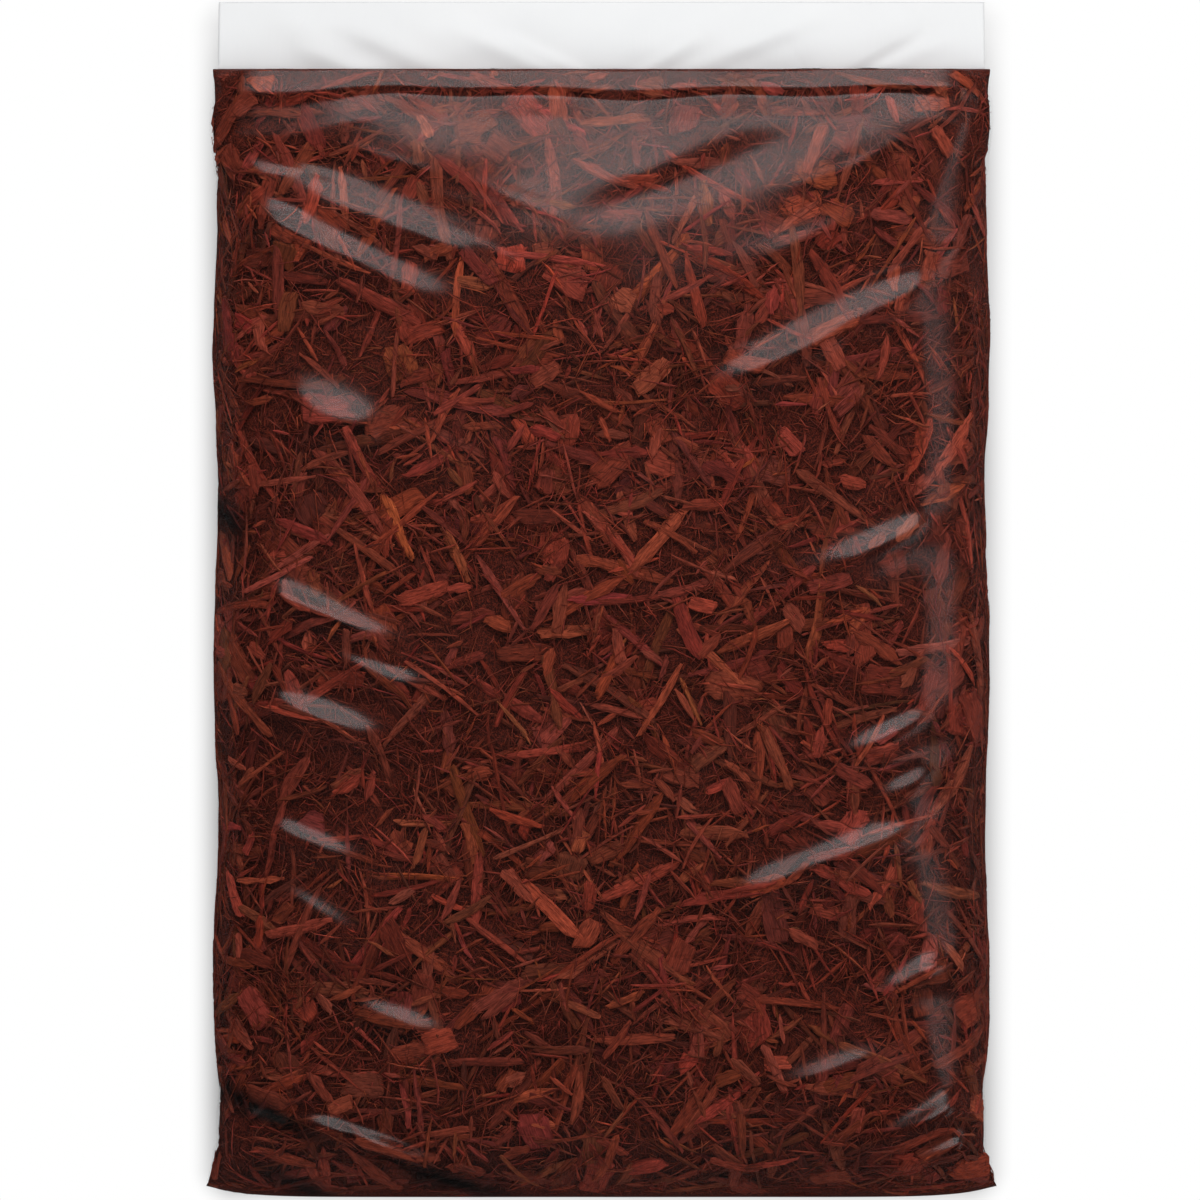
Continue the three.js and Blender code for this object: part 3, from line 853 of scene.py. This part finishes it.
FLOOR_HALF = 30.0
SHADOW_INSIDE = 0.02
SHADOW_RUN = 0.035
FLOOR_SEEN = (0.92, 0.92, 0.92, 1)
FLOOR_UNSEEN = (0.36, 0.36, 0.36, 1)
WHITE = (1, 1, 1, 1)

floor_mesh = bpy.data.meshes.new("floor")
floor_corners = [(x * FLOOR_HALF, y * FLOOR_HALF, 0) for x, y in ((-1, -1), (1, -1), (1, 1), (-1, 1))]
floor_mesh.from_pydata(floor_corners, [], [(0, 1, 2, 3)])
floor = bpy.data.objects.new("floor", floor_mesh)
bpy.context.scene.collection.objects.link(floor)


def floor_finish():
    """Matt white paint, which fades out to plain white as the camera sees it."""
    material, shade = new_finish("floor")
    place = shade.node("TexCoord", output="Object")
    aside = shade.node("VectorMath", {"operation": "ABSOLUTE"}, {0: place.scaled((1, 1, 0))})
    outline = (bag_high.x - SHADOW_INSIDE, bag_high.y - SHADOW_INSIDE, 0.0)
    past = shade.node("VectorMath", {"operation": "SUBTRACT"}, {0: aside, 1: outline})
    past = shade.node("VectorMath", {"operation": "MAXIMUM"}, {0: past, 1: (0.0, 0.0, 0.0)})
    out = shade.node("VectorMath", {"operation": "LENGTH"}, {0: past}, output="Value")
    far = shade.node(
        "MapRange",
        {"interpolation_type": "SMOOTHSTEP"},
        {"Value": out, "From Min": 0.0, "From Max": SHADOW_RUN},
    )
    seen = shade.node("LightPath", output="Is Camera Ray")
    tone = seen.mixed(FLOOR_UNSEEN, FLOOR_SEEN)
    paint = shade.node("BsdfDiffuse", inputs={"Color": tone})
    white = shade.node("Emission", inputs={"Color": WHITE, "Strength": 1.0})
    surface = shade.node("MixShader", inputs={0: far * seen, 1: paint, 2: white})
    shade.node("OutputMaterial", inputs={"Surface": surface})
    return material


floor_mesh.materials.append(floor_finish())

# Light and camera: a large softbox past the header, a weaker one on the right, a dim studio
# overhead and a white one round the horizon. The camera looks straight down on the front panel.

CAMERA_LENS = 400.0
FRAME_HEIGHT = 0.901
FRAME_MIDDLE = -0.0011
EDGE_LEVEL = 0.06
CAMERA_REACH = 100.0

# Levels of the studio: overhead, what the end past the seal and the horizon add, what the film
# mirrors, and what the camera sees
ROOM_LEVEL = 0.20
ROOM_PAST_SEAL = 0.38
ROOM_HORIZON = 0.15
MIRROR_LEVEL = 0.05
MIRROR_HORIZON = 0.08
SEEN_LEVEL = 0.24
SEEN_HORIZON = 0.76


def softbox(name, shape, tilt, heading, distance, size, radiance):
    """An area lamp that faces the bag. Tilt is from straight up, heading is from +X towards +Y."""
    lamp = bpy.data.lights.new(name, "AREA")
    lamp.shape = shape
    lamp.size, lamp.size_y = size
    area = size[0] * size[1] * (math.pi / 4 if shape == "ELLIPSE" else 1)
    lamp.energy = radiance * math.pi * area
    tilt, heading = math.radians(tilt), math.radians(heading)
    side = distance * math.sin(tilt)
    place = Vector((side * math.cos(heading), side * math.sin(heading), distance * math.cos(tilt)))
    stand = bpy.data.objects.new(name, lamp)
    stand.location = place
    stand.rotation_euler = (-place).to_track_quat("-Z", "Y").to_euler()
    bpy.context.scene.collection.objects.link(stand)


softbox("key_softbox", "ELLIPSE", tilt=48, heading=90, distance=2.4, size=(2.5, 1.5), radiance=4.3)
softbox("right_softbox", "RECTANGLE", tilt=52, heading=0, distance=2.2, size=(2.4, 0.7), radiance=1.5)

world = bpy.data.worlds.new("studio")
bpy.context.scene.world = world
world.use_nodes = True
world.node_tree.nodes.clear()
sky = Shade(world.node_tree)
heading = sky.node("TexCoord", output="Generated")
height = sky.node("SeparateXYZ", inputs={0: heading}, output="Z")
past_seal = sky.node("SeparateXYZ", inputs={0: heading}, output="Y") * -1.0
low = sky.node("MapRange", inputs={"Value": height, "From Min": 0.25, "From Max": 0.08})
seen = sky.node("LightPath", output="Is Camera Ray")
mirrored = sky.node("LightPath", output="Is Glossy Ray")
room = ROOM_LEVEL + ROOM_PAST_SEAL * sky.math("MAXIMUM", past_seal, 0.0) + ROOM_HORIZON * low
level = (1.0 - seen - mirrored) * room
level = level + mirrored * (MIRROR_LEVEL + MIRROR_HORIZON * low)
level = level + seen * (SEEN_LEVEL + SEEN_HORIZON * low)
glow = sky.node("Background", inputs={"Color": WHITE, "Strength": level})
sky.node("OutputWorld", inputs={"Surface": glow})

camera_data = bpy.data.cameras.new("camera")
camera_data.lens = CAMERA_LENS
camera = bpy.data.objects.new("camera", camera_data)
half_view = math.atan(camera_data.sensor_width / 2 / CAMERA_LENS)
camera.location = (FRAME_MIDDLE, 0, EDGE_LEVEL + FRAME_HEIGHT / 2 / math.tan(half_view))
camera_data.clip_end = CAMERA_REACH
bpy.context.scene.collection.objects.link(camera)
bpy.context.scene.camera = camera
bpy.context.scene.view_settings.view_transform = "Standard"
